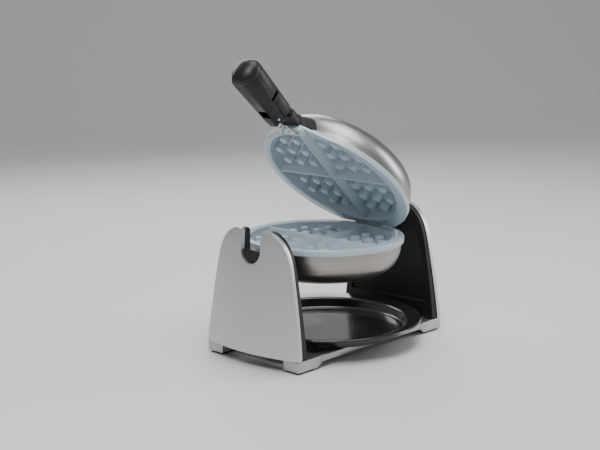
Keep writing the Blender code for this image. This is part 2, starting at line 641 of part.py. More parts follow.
def handle_body(name, start, end, draw_in=0.0, mat=None, parent=None):
    """A tapered eight-sided bar along X between two places, drawn in all round by a distance."""
    bm = bmesh.new()
    rings = []
    for x in (start, end):
        w = handle_half_width(x) - draw_in
        h = 18.0 + 3.2 * (HANDLE_ROOT_X - x) / (HANDLE_ROOT_X - HANDLE_TIP_X) - draw_in
        c = 0.42
        ring = [(w, h * c), (w * (1 - c), h), (-w * (1 - c), h), (-w, h * c),
                (-w, -h * c), (-w * (1 - c), -h), (w * (1 - c), -h), (w, -h * c)]
        rings.append([bm.verts.new((x, y, HANDLE_Z + z)) for y, z in ring])
    for i in range(8):
        j = (i + 1) % 8
        bm.faces.new((rings[0][i], rings[0][j], rings[1][j], rings[1][i]))
    bm.faces.new(rings[0])
    bm.faces.new(rings[1])
    bmesh.ops.recalc_face_normals(bm, faces=bm.faces)
    obj = add_mesh(name, bm, mat, parent, (FOLD_X, 0, FOLD_Z))
    obj.location = (0.0, 0.0, 0.0)
    return obj


def handle_tool(name, bm):
    """A cutter in the handle's own frame, whose origin is on the fold axis."""
    tool = add_mesh(name, bm, None, None, (FOLD_X, 0, FOLD_Z))
    tool.location = (0.0, 0.0, 0.0)
    return tool


def build_handle(mats, handle):
    joint_x = -238.0
    halves = {"handle_upper_shell": (HANDLE_Z + 0.15, 200), "handle_lower_shell": (100, HANDLE_Z - 0.15)}
    for name, (low, high) in halves.items():
        shell = handle_body(name, HANDLE_ROOT_X, joint_x, 0.0, mats["black"], handle)
        bevel(shell, 3.0, 2, 20)
        cut(shell, handle_body(name + "_hollow", HANDLE_ROOT_X + 5, joint_x - 5, 2.6))
        keep(shell, handle_tool(name + "_half", box((-300, -40, low), (-100, 40, high))))
        cut(shell, handle_tool(name + "_button_slot", box((-196.0, -30, 150), (-157.0, -10, 166))))
        if name == "handle_lower_shell":
            cut(shell, handle_tool("neck_slot", box((-184, -7.6, 120), (-150, 7.6, 150))))
            hole = rod((FOLD_X, -30, FOLD_Z), (FOLD_X, 30, FOLD_Z), 2.3, segments=16)
            cut(shell, handle_tool("fold_hole", hole))
    cap = handle_body("handle_tip_cap", joint_x - GAP, HANDLE_TIP_X, 0.0, mats["black"], handle)
    bevel(cap, 9.0, 4, 20)


def build_button(mats, button):
    """Side release button: a thumb plate in the handle's front side with a stem behind it."""
    x0, x1 = -190.4, -157.4
    y = -handle_half_width(-175.0)
    plate = box((x0, y - 0.6, 150.4), (x1, y + 3.0, 165.6))
    plate = add_mesh("release_button", plate, mats["black"], button, (x0, y, 158))
    plate.location = (0.0, 0.0, 0.0)
    bevel(plate, 0.8, 2)


def main():
    clear_scene()
    mats = {
        "silver": material("silver_paint", (0.62, 0.62, 0.63), 0.32, 0.85),
        "brushed": material("brushed_stainless", (0.55, 0.53, 0.51), 0.28, 1.0),
        "ceramic": material("ceramic_coating", (0.52, 0.62, 0.68), 0.35, 0.1),
        "black": material("black_plastic", (0.02, 0.02, 0.02), 0.5),
        "gloss_black": material("gloss_enamel", (0.012, 0.012, 0.012), 0.18),
        "rubber": material("foot_rubber", (0.03, 0.03, 0.03), 0.8),
        "nylon": material("grey_nylon", (0.2, 0.2, 0.2), 0.6),
        "steel": material("zinc_steel", (0.6, 0.6, 0.6), 0.35, 1.0),
        "hinge_metal": material("hinge_casting", (0.5, 0.52, 0.55), 0.4, 0.8),
        "red_lens": material("red_lens", (0.6, 0.03, 0.02), 0.2),
        "green_lens": material("green_lens", (0.03, 0.45, 0.08), 0.2),
    }
    base = empty("base_frame", (FRAME_SHIFT_X, 0, 0))
    build_stands(mats, base)
    build_feet(mats, base)
    build_controls(mats, base)
    dial = empty("dial_axis", (outer_face(1, 0.0, DIAL_Z - DIAL_RADIUS) + 0.4, 0, DIAL_Z), base)
    build_dial(mats, dial)
    tray = empty("tray_frame", (STAND_MIDDLE_X, 0, 0), base)
    build_tray(mats, tray)
    head = empty("flip_axis", (0, 0, PARTING_Z), base)
    build_lower_head(mats, head)
    hinge = empty("lid_hinge_axis", (HINGE_X, 0, HINGE_Z), base, math.radians(LID_ANGLE))
    lid = empty("lid_closed_frame", (-HINGE_X, 0, -HINGE_Z), hinge)
    flipped = empty("upper_plate_frame", (0, 0, PARTING_Z + GAP), lid)
    flipped.rotation_euler = (math.pi, 0.0, 0.0)
    build_lid(mats, flipped, lid)
    build_handle_bracket(mats, lid)
    handle = empty("fold_axis", (FOLD_X, 0, FOLD_Z), lid)
    build_handle(mats, handle)
    button = empty("button_frame", (-190.4 - FOLD_X, -handle_half_width(-175.0), 158 - FOLD_Z), handle)
    build_button(mats, button)


main()
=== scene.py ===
"""Looks of the rotating waffle maker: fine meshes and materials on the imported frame, light, camera.

Shapes are modelled in millimetres, in the frames of the bodies that carry them, and are scaled to
metres when they are placed. Textures are procedural and follow each piece.
"""
import json
import math

import bmesh
import bpy
from mathutils import Matrix, Vector


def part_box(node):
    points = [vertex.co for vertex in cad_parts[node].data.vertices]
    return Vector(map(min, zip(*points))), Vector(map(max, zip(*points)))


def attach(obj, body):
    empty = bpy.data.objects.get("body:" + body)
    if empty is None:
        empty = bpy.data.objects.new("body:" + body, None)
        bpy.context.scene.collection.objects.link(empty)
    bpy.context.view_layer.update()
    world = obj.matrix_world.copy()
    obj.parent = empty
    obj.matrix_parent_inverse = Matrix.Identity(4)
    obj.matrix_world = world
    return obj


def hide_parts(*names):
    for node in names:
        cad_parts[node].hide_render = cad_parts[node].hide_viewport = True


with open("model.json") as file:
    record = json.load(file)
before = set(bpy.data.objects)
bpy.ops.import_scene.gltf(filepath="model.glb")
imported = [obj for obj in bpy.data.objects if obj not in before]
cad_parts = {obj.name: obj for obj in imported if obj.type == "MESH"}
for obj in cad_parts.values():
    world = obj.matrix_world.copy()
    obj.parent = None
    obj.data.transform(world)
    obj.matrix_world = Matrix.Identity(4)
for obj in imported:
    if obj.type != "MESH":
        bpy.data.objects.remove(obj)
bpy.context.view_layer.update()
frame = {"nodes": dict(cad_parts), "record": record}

MM = 0.001
JOINTS = {joint["name"]: joint for joint in frame["record"]["behaviour"]["joints"]}


def span(node, axis):
    """Lowest and highest millimetre of a CAD node along an axis of the row frame."""
    low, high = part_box(node)
    return low[axis] / MM, high[axis] / MM


# Places read from the frame, in millimetres
FLIP = Vector(JOINTS["head_flip"]["pos_m"]) / MM
HINGE = Vector(JOINTS["lid_hinge"]["pos_m"]) / MM
LID_ANGLE = -math.radians(JOINTS["lid_hinge"]["range_deg"][0])
RIM_RADIUS = span("lower_plate", 1)[1]
DOME_RADIUS = span("lower_dome", 1)[1]
TRAY_RADIUS = span("drip_tray", 1)[1]
TRAY_BOTTOM_Z, TRAY_RIM_Z = span("drip_tray", 2)
STAND_BOTTOM_Z, STAND_TOP_Z = span("right_stand_shell", 2)
STAND_HALF_WIDTH = span("right_stand_shell", 1)[1]
PARTING_Z = FLIP.z

# The shapes' own dimensions, in millimetres
GAP = 0.3
RIM_BAND = 8.15
WELL_RADIUS = 100.2
WELL_FLOOR_RADIUS = 93.0
WELL_DEPTH = 17.0
WELL_X = -5.45
PLATE_WALL = 3.0
BUMP_PITCH = 25.0
BUMP_HEIGHT = 12.0
BUMP_RADIUS = 9.5
BUMP_TOP_RADIUS = 7.0
RIDGE_DROP = 1.2
DOME_DEPTH = 59.0
STAND_MIDDLE_X = 6.65
STAND_HALF_LENGTH = 157.45
STAND_BOW = 14.0
STAND_LEAN = 11.0
SHOULDER_Z = 130.0
SHOULDER_POWER = 3.1
NOTCH_RADIUS = 18.0
SKIN = 1.0
SKIRT = 7.0
COVER_WALL = 2.2
INNER_FACE = 139.5
JOURNAL_RADIUS = 17.3
HANDLE_ROOT_X, HANDLE_CAP_X, HANDLE_TIP_X = -155.0, -238.0, -259.5
HANDLE_Z = 155.8
CHAMFER = 0.42              # share of the handle's half sides that its corners take
CORNER_RADIUS = 7.0
HANDLE_WALL = 2.6
SEAM = 0.15                 # half the gap between the handle's two shells
FOLD_X, FOLD_Z = -162.0, 143.0
FOLD_HOLE_RADIUS = 2.3
BUTTON_SLOT = ((-196.0, -30, 150), (-157.0, -10, 166))
NECK_SLOT = ((-184, -7.6, 120), (-150, 7.6, 150))
CAP_POWER = 2.2
CAP_END_X = -255.3
TAB_EDGE_X = -128.4
TAB_DEPTH = 6.0
TAB_HALF_WIDTH = 22.0
KNUCKLE_RADIUS = 5.2
KNUCKLE_HALF = 24.5
EAR_OUTER = 48.0

# Frames of the pieces, in millimetres of the row frame
BASE = Matrix.Identity(4)
HEAD = Matrix.Translation(FLIP)
CLOSED_SHIFT = Matrix.Translation((FLIP.x, 0.0, 0.0))
LID = (Matrix.Translation(HINGE) @ Matrix.Rotation(LID_ANGLE, 4, "Y") @ Matrix.Translation(-HINGE)
       @ CLOSED_SHIFT)
UPPER = LID @ Matrix.Translation((0.0, 0.0, PARTING_Z + GAP)) @ Matrix.Rotation(math.pi, 4, "X")
PIN_X, PIN_Z = HINGE.x - FLIP.x, HINGE.z
VIEW = Vector((0.7277, 0.6584, -0.1924))


# ---------------------------------------------------------------- shape helpers, in millimetres

def link(name, bm):
    """A scratch object of a bmesh, still in millimetres."""
    mesh = bpy.data.meshes.new(name)
    bm.to_mesh(mesh)
    bm.free()
    obj = bpy.data.objects.new(name, mesh)
    bpy.context.scene.collection.objects.link(obj)
    return obj


def bake(obj):
    """Apply an object's modifiers to its mesh."""
    depsgraph = bpy.context.evaluated_depsgraph_get()
    mesh = bpy.data.meshes.new_from_object(obj.evaluated_get(depsgraph))
    obj.modifiers.clear()
    old = obj.data
    obj.data = mesh
    bpy.data.meshes.remove(old)
    return obj


def combine(obj, bm, operation):
    """An exact Boolean of an object with a bmesh, applied at once."""
    tool = link("tool", bm)
    step = obj.modifiers.new("tool", "BOOLEAN")
    step.operation = operation
    step.solver = "EXACT"
    step.object = tool
    bake(obj)
    bpy.data.objects.remove(tool, do_unlink=True)
    return obj


def cut(obj, bm):
    """Take a bmesh away from an object."""
    return combine(obj, bm, "DIFFERENCE")


def join(obj, bm):
    """Add a bmesh to an object."""
    return combine(obj, bm, "UNION")


def keep(obj, bm):
    """Keep what an object shares with a bmesh."""
    return combine(obj, bm, "INTERSECT")


def merge(obj, other):
    """Join another scratch object into this one and remove it."""
    bm = bmesh.new()
    bm.from_mesh(other.data)
    bpy.data.objects.remove(other, do_unlink=True)
    return join(obj, bm)


def soften(obj, width, segments=3, angle=30.0):
    """Round an object's sharp edges."""
    step = obj.modifiers.new("soften", "BEVEL")
    step.width = width
    step.segments = segments
    step.limit_method = "ANGLE"
    step.angle_limit = math.radians(angle)
    step.use_clamp_overlap = True
    return bake(obj)


def box(low, high, bm=None):
    """A box between two corners."""
    bm = bm or bmesh.new()
    low, high = Vector(low), Vector(high)
    matrix = Matrix.Translation((low + high) / 2) @ Matrix.Diagonal((*(high - low), 1.0))
    bmesh.ops.create_cube(bm, size=1.0, matrix=matrix)
    return bm


def rod(start, end, radius, end_radius=None, segments=48, bm=None):
    """A cylinder, or a cone with two radii, from one point to another."""
    bm = bm or bmesh.new()
    start, end = Vector(start), Vector(end)
    turn = (end - start).to_track_quat("Z", "Y").to_matrix().to_4x4()
    bmesh.ops.create_cone(bm, cap_ends=True, segments=segments, radius1=radius,
                          radius2=radius if end_radius is None else end_radius,
                          depth=(end - start).length,
                          matrix=Matrix.Translation((start + end) / 2) @ turn)
    return bm


def lathe(profile, place=(0.0, 0.0), segments=144, bm=None):
    """A solid turned about Z from (radius, height) points; ends at radius 0 close on the axis."""
    bm = bm or bmesh.new()
    rings = []
    for radius, height in profile:
        if radius < 1e-6:
            rings.append([bm.verts.new((*place, height))])
            continue
        turns = [math.tau * i / segments for i in range(segments)]
        rings.append([bm.verts.new((place[0] + radius * math.cos(a),
                                    place[1] + radius * math.sin(a), height)) for a in turns])
    for upper, lower in zip(rings, rings[1:]):
        for i in range(segments):
            j = (i + 1) % segments
            corners = [upper[i % len(upper)], lower[i % len(lower)],
                       lower[j % len(lower)], upper[j % len(upper)]]
            corners = list(dict.fromkeys(corners))
            if len(corners) > 2:
                bm.faces.new(corners)
    bmesh.ops.recalc_face_normals(bm, faces=bm.faces)
    return bm


def arc(centre, radius, start, end, steps):
    """Points along an arc in a plane, angles in degrees."""
    angles = [math.radians(start + (end - start) * i / steps) for i in range(steps + 1)]
    return [(centre[0] + radius * math.cos(a), centre[1] + radius * math.sin(a)) for a in angles]


def rounded(points, radii, steps=5):
    """A polyline whose inner corners are rounded, each by its own radius."""
    out = [tuple(points[0])]
    for before, corner, after, radius in zip(points, points[1:], points[2:], radii):
        a, p, b = Vector(before), Vector(corner), Vector(after)
        into, away = (a - p).normalized(), (b - p).normalized()
        reach = min(radius, 0.45 * min((a - p).length, (b - p).length))
        for i in range(steps + 1):
            t = i / steps
            q = p + into * reach * (1 - t) ** 2 + away * reach * t ** 2
            out.append(tuple(q))
    return out + [tuple(points[-1])]


def smooth_line(points, steps):
    """A smooth curve through points, by Catmull-Rom spans."""
    ends = [Vector(points[0]) * 2 - Vector(points[1])] + [Vector(p) for p in points]
    ends.append(Vector(points[-1]) * 2 - Vector(points[-2]))
    out = []
    for p0, p1, p2, p3 in zip(ends, ends[1:], ends[2:], ends[3:]):
        for i in range(steps):
            t = i / steps
            q = (p1 * 2 + (p2 - p0) * t + (p0 * 2 - p1 * 5 + p2 * 4 - p3) * t * t
                 + (p1 * 3 - p0 - p2 * 3 + p3) * t ** 3) / 2
            out.append(tuple(q))
    return out + [tuple(points[-1])]


def prism(points, low, high, plane):
    """A flat outline given a thickness: YZ outlines run along X, XZ ones along Y, XY along Z."""
    bm = bmesh.new()
    lift = {"YZ": lambda u, v, w: (w, u, v), "XZ": lambda u, v, w: (u, w, v),
            "XY": lambda u, v, w: (u, v, w)}[plane]
    face = bm.faces.new([bm.verts.new(lift(u, v, low)) for u, v in points])
    grown = bmesh.ops.extrude_face_region(bm, geom=[face])
    move = Vector(lift(0.0, 0.0, high - low))
    for vert in grown["geom"]:
        if isinstance(vert, bmesh.types.BMVert):
            vert.co += move
    bmesh.ops.recalc_face_normals(bm, faces=bm.faces)
    return bm


def tube(points, radius, sides=12):
    """A round wire along a smooth route."""
    bm = bmesh.new()
    route = [Vector(p) for p in points]
    rings = []
    for i, p in enumerate(route):
        ahead = (route[min(i + 1, len(route) - 1)] - route[max(i - 1, 0)]).normalized()
        turn = ahead.to_track_quat("Z", "Y").to_matrix()
        rings.append([bm.verts.new(p + turn @ Vector((radius * math.cos(a), radius * math.sin(a), 0)))
                      for a in [math.tau * k / sides for k in range(sides)]])
    for first, second in zip(rings, rings[1:]):
        for k in range(sides):
            m = (k + 1) % sides
            bm.faces.new((first[k], first[m], second[m], second[k]))
    bm.faces.new(rings[0])
    bm.faces.new(rings[-1])
    bmesh.ops.recalc_face_normals(bm, faces=bm.faces)
    return bm


def node_copy(node):
    """A scratch copy of a CAD node in millimetres of the row frame, welded and without triangles."""
    bm = bmesh.new()
    bm.from_mesh(frame["nodes"][node].data)
    bmesh.ops.remove_doubles(bm, verts=bm.verts, dist=0.00001)
    bmesh.ops.dissolve_limit(bm, angle_limit=math.radians(1.0), verts=bm.verts, edges=bm.edges)
    bm.transform(Matrix.Scale(1 / MM, 4))
    return link(node + "_copy", bm)


def place(obj, name, mat, body, matrix=BASE, nodes=(), slot=None, sharp=35.0):
    """Finish a piece: name, smooth shading, material, its place in the row frame and its body."""
    obj.name = obj.data.name = name
    obj.data.transform(Matrix.Scale(MM, 4))
    obj.matrix_world = Matrix.Translation(matrix.translation * MM) @ matrix.to_3x3().to_4x4()
    obj.data.materials.clear()
    obj.data.materials.append(mat)
    obj.data.shade_smooth()
    obj.data.set_sharp_from_angle(angle=math.radians(sharp))
    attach(obj, body)
    if nodes:
        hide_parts(*nodes)
    return obj


# ---------------------------------------------------------------- materials

class Surface:
    """A Principled material whose colour, roughness and relief come from textures in metres."""

    def __init__(self, name, colour, roughness, metallic=0.0, **sockets):
        self.mat = bpy.data.materials.new(name)
        self.mat.use_nodes = True
        self.tree = self.mat.node_tree
        self.shader = self.tree.nodes["Principled BSDF"]
        self.colour = (*colour, 1.0)
        self.roughness = roughness
        self.shader.inputs["Base Color"].default_value = self.colour
        self.shader.inputs["Roughness"].default_value = roughness
        self.shader.inputs["Metallic"].default_value = metallic
        for socket, value in sockets.items():
            self.shader.inputs[socket.replace("_", " ")].default_value = value
        self.height = None

    def node(self, kind, inputs=(), **settings):
        node = self.tree.nodes.new(kind)
        for key, value in settings.items():
            setattr(node, key, value)
        for socket, value in dict(inputs).items():
            if isinstance(value, bpy.types.NodeSocket):
                self.tree.links.new(value, node.inputs[socket])
            else:
                node.inputs[socket].default_value = value
        return node

    def place(self, stretch=(1.0, 1.0, 1.0)):
        """The piece's own coordinates, scaled along its axes."""
        own = self.node("ShaderNodeTexCoord").outputs["Object"]
        return self.node("ShaderNodeVectorMath", {0: own, 1: stretch}, operation="MULTIPLY").outputs[0]

    def around(self, radial, upward, turning):
        """Coordinates round the piece's Z axis: distance, height and angle, each with its scale."""
        own = self.node("ShaderNodeTexCoord").outputs["Object"]
        split = self.node("ShaderNodeSeparateXYZ", {0: own}).outputs
        flat = self.node("ShaderNodeCombineXYZ", {0: split[0], 1: split[1]}).outputs[0]
        reach = self.node("ShaderNodeVectorMath", {0: flat}, operation="LENGTH").outputs["Value"]
        angle = self.node("ShaderNodeMath", {0: split[1], 1: split[0]}, operation="ARCTAN2").outputs[0]
        joined = self.node("ShaderNodeCombineXYZ", {0: reach, 1: split[2], 2: angle}).outputs[0]
        scales = (radial, upward, turning)
        return self.node("ShaderNodeVectorMath", {0: joined, 1: scales}, operation="MULTIPLY").outputs[0]

    def noise(self, vector, scale, detail=3.0, rough=0.5):
        sockets = {"Vector": vector, "Scale": scale, "Detail": detail, "Roughness": rough}
        return self.node("ShaderNodeTexNoise", sockets).outputs["Fac"]

    def ranged(self, value, low, high, start=0.3, end=0.7):
        sockets = {0: value, 1: start, 2: end, 3: low, 4: high}
        return self.node("ShaderNodeMapRange", sockets).outputs[0]

    def tint(self, mask, colour, amount=1.0):
        """Blend another colour over the current one where the mask is high."""
        fac = self.node("ShaderNodeMath", {0: mask, 1: amount}, operation="MULTIPLY").outputs[0]
        mix = self.node("ShaderNodeMix", data_type="RGBA")
        self.tree.links.new(fac, mix.inputs["Factor"])
        base = self.shader.inputs["Base Color"]
        first = mix.inputs[6]
        if base.is_linked:
            self.tree.links.new(base.links[0].from_socket, first)
        else:
            first.default_value = self.colour
        mix.inputs[7].default_value = (*colour, 1.0)
        self.tree.links.new(mix.outputs[2], base)
        return self

    def rough(self, value, spread):
        """Let a texture move the roughness by a spread either side of the middle."""
        out = self.ranged(value, self.roughness - spread, self.roughness + spread)
        self.tree.links.new(out, self.shader.inputs["Roughness"])
        return self

    def relief(self, value, distance, strength=1.0):
        """Add a texture to the surface's relief; distance is its height in metres."""
        bump = self.node("ShaderNodeBump", {"Height": value, "Distance": distance,
                                            "Strength": strength})
        if self.height is not None:
            self.tree.links.new(self.height, bump.inputs["Normal"])
        self.height = bump.outputs[0]
        self.tree.links.new(self.height, self.shader.inputs["Normal"])
        return self


def satin_lacquer():
    """Silver lacquer over steel, with a faint upright grain."""
    s = Surface("satin_silver", (0.60, 0.60, 0.61), 0.36, 0.82, Coat_Weight=0.25, Coat_Roughness=0.3)
    grain = s.noise(s.place((900.0, 900.0, 14.0)), 1.0, 3.0, 0.6)
    flake = s.noise(s.place(), 2600.0, 2.0)
    cloud = s.noise(s.place(), 26.0, 3.0)
    s.tint(s.ranged(grain, 0.0, 1.0), (0.53, 0.53, 0.545), 0.55)
    s.tint(s.ranged(flake, 0.0, 1.0, 0.55, 0.75), (0.72, 0.72, 0.73), 0.35)
    s.tint(s.ranged(cloud, 0.0, 1.0), (0.56, 0.555, 0.56), 0.3)
    return s.rough(grain, 0.05).relief(grain, 0.00001).relief(flake, 0.000006).mat


def brushed_stainless():
    """Stainless sheet brushed round the dome, slightly warm."""
    s = Surface("brushed_stainless", (0.37, 0.35, 0.335), 0.33, 1.0, Anisotropic=0.45)
    fine = s.noise(s.around(2600.0, 2600.0, 5.0), 1.0, 3.0, 0.65)
    broad = s.noise(s.around(240.0, 240.0, 1.6), 1.0, 3.0)
    cloud = s.noise(s.place(), 18.0, 2.0)
    s.tint(s.ranged(fine, 0.0, 1.0), (0.30, 0.285, 0.275), 0.5)
    s.tint(s.ranged(broad, 0.0, 1.0), (0.43, 0.41, 0.39), 0.4)
    s.tint(s.ranged(cloud, 0.0, 1.0), (0.33, 0.31, 0.30), 0.3)
    return s.rough(fine, 0.07).relief(fine, 0.000012).mat


def ceramic_coating():
    """Light blue-grey ceramic coating with a fine darker and paler speckle."""
    s = Surface("ceramic_coating", (0.44, 0.53, 0.60), 0.33, 0.0, Coat_Weight=0.35, Coat_Roughness=0.22,
                Specular_IOR_Level=0.6)
    speckle = s.noise(s.place(), 1500.0, 2.0, 0.6)
    pale = s.noise(s.place(), 2300.0, 1.0)
    cloud = s.noise(s.place(), 45.0, 4.0)
    s.tint(s.ranged(cloud, 0.0, 1.0), (0.40, 0.49, 0.56), 0.6)
    s.tint(s.ranged(speckle, 0.0, 1.0, 0.58, 0.72), (0.33, 0.40, 0.45), 0.45)
    s.tint(s.ranged(pale, 0.0, 1.0, 0.62, 0.75), (0.62, 0.70, 0.75), 0.4)
    return s.rough(cloud, 0.05).relief(speckle, 0.00002).mat


def moulded_black(name, colour, roughness, grain_size, depth, coat=0.0):
    """Black plastic with a spark-eroded grain of a size in metres."""
    s = Surface(name, colour, roughness, Coat_Weight=coat, Coat_Roughness=0.3, Specular_IOR_Level=0.35)
    grain = s.noise(s.place(), 1.0 / grain_size, 3.0, 0.6)
    cloud = s.noise(s.place(), 30.0, 4.0)
    lighter = tuple(c * 1.6 + 0.002 for c in colour)
    s.tint(s.ranged(cloud, 0.0, 1.0), lighter, 0.5)
    s.tint(s.ranged(grain, 0.0, 1.0, 0.55, 0.75), lighter, 0.5)
    return s.rough(cloud, 0.06).relief(grain, depth).mat


def tray_enamel():
    """Gloss black enamel with orange peel."""
    s = Surface("tray_enamel", (0.012, 0.012, 0.013), 0.20, 0.0, Coat_Weight=0.6, Coat_Roughness=0.08,
                Specular_IOR_Level=0.6)
    peel = s.noise(s.place(), 320.0, 2.0)
    cloud = s.noise(s.place(), 24.0, 4.0)
    s.tint(s.ranged(cloud, 0.0, 1.0), (0.019, 0.018, 0.018), 0.8)
    return s.rough(cloud, 0.05).relief(peel, 0.00003, 0.5).mat


def foot_metal():
    """Brushed metal of the feet and bars, with its grain along X."""
    s = Surface("foot_metal", (0.50, 0.49, 0.48), 0.34, 0.95)
    grain = s.noise(s.place((16.0, 1500.0, 1500.0)), 1.0, 3.0, 0.6)
    cloud = s.noise(s.place(), 40.0, 3.0)
    s.tint(s.ranged(grain, 0.0, 1.0), (0.42, 0.41, 0.40), 0.6)
    s.tint(s.ranged(cloud, 0.0, 1.0), (0.56, 0.56, 0.57), 0.4)
    return s.rough(grain, 0.06).relief(grain, 0.00001).mat


def plated(name, colour, roughness, depth):
    """Plated or cast bare metal with soft blotches and fine pits."""
    s = Surface(name, colour, roughness, 1.0)
    cloud = s.noise(s.place(), 160.0, 4.0)
    pit = s.noise(s.place(), 1800.0, 2.0)
    s.tint(s.ranged(cloud, 0.0, 1.0), tuple(c * 0.8 for c in colour), 0.7)
    return s.rough(cloud, 0.07).relief(pit, depth).mat


def plain_grain(name, colour, roughness, grain_size, depth, **sockets):
    """Rubber, nylon or a lens: one colour with a mottled tone and a fine relief."""
    s = Surface(name, colour, roughness, **sockets)
    cloud = s.noise(s.place(), 120.0, 3.0)
    grain = s.noise(s.place(), 1.0 / grain_size, 2.0)
    s.tint(s.ranged(cloud, 0.0, 1.0), tuple(c * 1.3 for c in colour), 0.6)
    return s.rough(cloud, 0.05).relief(grain, depth).mat


def make_materials():
    """Every material, by its short name."""
    return {
        "silver": satin_lacquer(),
        "brushed": brushed_stainless(),
        "ceramic": ceramic_coating(),
        "black": moulded_black("black_plastic", (0.008, 0.008, 0.009), 0.48, 0.0006, 0.00004),
        "handle": moulded_black("handle_plastic", (0.006, 0.006, 0.007), 0.42, 0.0005, 0.00002, 0.1),
        "tray": tray_enamel(),
        "foot": foot_metal(),
        "rubber": plain_grain("foot_rubber", (0.02, 0.02, 0.02), 0.75, 0.0008, 0.00005),
        "nylon": plain_grain("grey_nylon", (0.17, 0.17, 0.17), 0.55, 0.0007, 0.00003),
        "steel": plated("zinc_steel", (0.62, 0.62, 0.62), 0.28, 0.000006),
        "casting": plain_grain("hinge_casting", (0.42, 0.44, 0.46), 0.42, 0.0006, 0.00003, Metallic=0.6),
        "red": plain_grain("red_lens", (0.55, 0.03, 0.02), 0.14, 0.0009, 0.00001, Coat_Weight=0.6),
        "green": plain_grain("green_lens", (0.03, 0.42, 0.08), 0.14, 0.0009, 0.00001, Coat_Weight=0.6),
    }


# ---------------------------------------------------------------- grid plates

def bump_places():
    """Centres of the waffle bumps about the well's middle, on a square grid in each quarter."""
    steps = [23.5 + BUMP_PITCH * i for i in range(3)]
    for x in steps:
        for y in steps:
            if math.hypot(x, y) < 89.0:
                for sx in (-1, 1):
                    for sy in (-1, 1):
                        yield sx * x, sy * y


def bumps():
    """Six-sided bumps with rounded edges, as separate bodies."""
    bm = bmesh.new()
    foot, top = -WELL_DEPTH - 1.0, -WELL_DEPTH + BUMP_HEIGHT
    for x, y in bump_places():
        rod((WELL_X + x, y, foot), (WELL_X + x, y, top), BUMP_RADIUS, BUMP_TOP_RADIUS, 6, bm)
    edges = [e for e in bm.edges if not all(v.co.z < foot + 0.01 for v in e.verts)]
    bmesh.ops.bevel(bm, geom=edges, offset=1.3, segments=3, profile=0.5, affect="EDGES",
                    clamp_overlap=True)
    return bm


def ridge(along_x):
    """A roof-shaped divider across the well: a rounded crest, and sides that spread outwards."""
    foot, crest_z, reach = -WELL_DEPTH - 1.0, -RIDGE_DROP, WELL_RADIUS - 1.0
    bm = bmesh.new()
    rings = []
    for place_along in (-reach, -reach / 2, 0.0, reach / 2, reach):
        half = 6.6 + 2.4 * abs(place_along) / reach
        side = [(-half, foot), (-1.9, crest_z - 1.1), (-1.1, crest_z - 0.25), (0.0, crest_z)]
        section = side + [(-u, v) for u, v in reversed(side[:-1])]
        turn = (lambda u, w: (w, u)) if along_x else (lambda u, w: (u, w))
        rings.append([bm.verts.new((turn(u, place_along)[0] + WELL_X, turn(u, place_along)[1], v))
                      for u, v in section])
    count = len(rings[0])
    for first, second in zip(rings, rings[1:]):
        for i in range(count):
            j = (i + 1) % count
            bm.faces.new((first[i], first[j], second[j], second[i]))
    bm.faces.new(rings[0])
    bm.faces.new(rings[-1])
    bmesh.ops.recalc_face_normals(bm, faces=bm.faces)
    return bm


def plate_blank(name):
    """A grid plate with its well opening up at height 0: rim with a skirt, bowl, bumps, ridges."""
    rim = [(0.0, 0.0), (RIM_RADIUS, 0.0), (RIM_RADIUS, -RIM_BAND), (DOME_RADIUS + 1.0, -RIM_BAND),
           (DOME_RADIUS + 1.0, -PLATE_WALL), (0.0, -PLATE_WALL)]
    plate = link(name, lathe(rounded(rim, (1.4, 1.2, 0.8, 0.8), 4)))
    low = -WELL_DEPTH - PLATE_WALL
    bowl = [(0.0, -1.0), (WELL_RADIUS + 2.5, -1.0), (WELL_FLOOR_RADIUS + 3.0, low), (0.0, low)]
    join(plate, lathe(rounded(bowl, (0.5, 5.0)), (WELL_X, 0.0)))
    lip = 1.5
    well = [(0.0, 2.0), (WELL_RADIUS + lip, 2.0)]
    well += arc((WELL_RADIUS + lip, -lip), lip, 90, 168, 6)
    well += rounded([well[-1], (WELL_FLOOR_RADIUS, -WELL_DEPTH), (0.0, -WELL_DEPTH)], (4.0,), 6)[1:]
    cut(plate, lathe(well, (WELL_X, 0.0)))
    groove = [(WELL_RADIUS + 2.6, 0.5), (WELL_RADIUS + 4.4, 0.5), (WELL_RADIUS + 4.0, -0.6),
              (WELL_RADIUS + 3.0, -0.6), (WELL_RADIUS + 2.6, 0.5)]
    cut(plate, closed_ring(groove, (WELL_X, 0.0)))
    join(plate, bumps())
    join(plate, ridge(True))
    join(plate, ridge(False))
    return plate


def closed_ring(profile, place_at, segments=144):
    """A ring turned about Z whose profile returns to its start and never meets the axis."""
    bm = lathe(profile, place_at, segments)
    bmesh.ops.remove_doubles(bm, verts=bm.verts, dist=0.001)
    bmesh.ops.recalc_face_normals(bm, faces=bm.faces)
    return bm


def build_lower_plate(mats):
    """Lower grid plate, with the seat of the hinge."""
    plate = plate_blank("lower_grid_plate")
    hinge_x = HINGE.x - FLIP.x
    seat = box((100.0 - GAP, -KNUCKLE_HALF - GAP, -1.0), (hinge_x + 20, KNUCKLE_HALF + GAP, 3.0))
    cut(plate, seat)
    place(plate, "lower_grid_plate", mats["ceramic"], "head", HEAD, ("lower_plate",), "ceramic_plate")


def tab_outline():
    """The lid's front tab in X and Y: a rounded tongue that reaches out over the collars."""
    side = [(-104.0, TAB_HALF_WIDTH)]
    side += arc((TAB_EDGE_X + 7.0, TAB_HALF_WIDTH - 7.0), 7.0, 90, 180, 10)
    return side + [(x, -y) for x, y in reversed(side)]


def web_outline():
    """The thin web that runs from the rim into the tab on both sides."""
    side = smooth_line([(-84.0, 74.0), (-103.0, 52.0), (-116.0, 33.0), (-123.5, 22.0), (-127.6, 15.0)], 5)
    return side + [(x, -y) for x, y in reversed(side)]


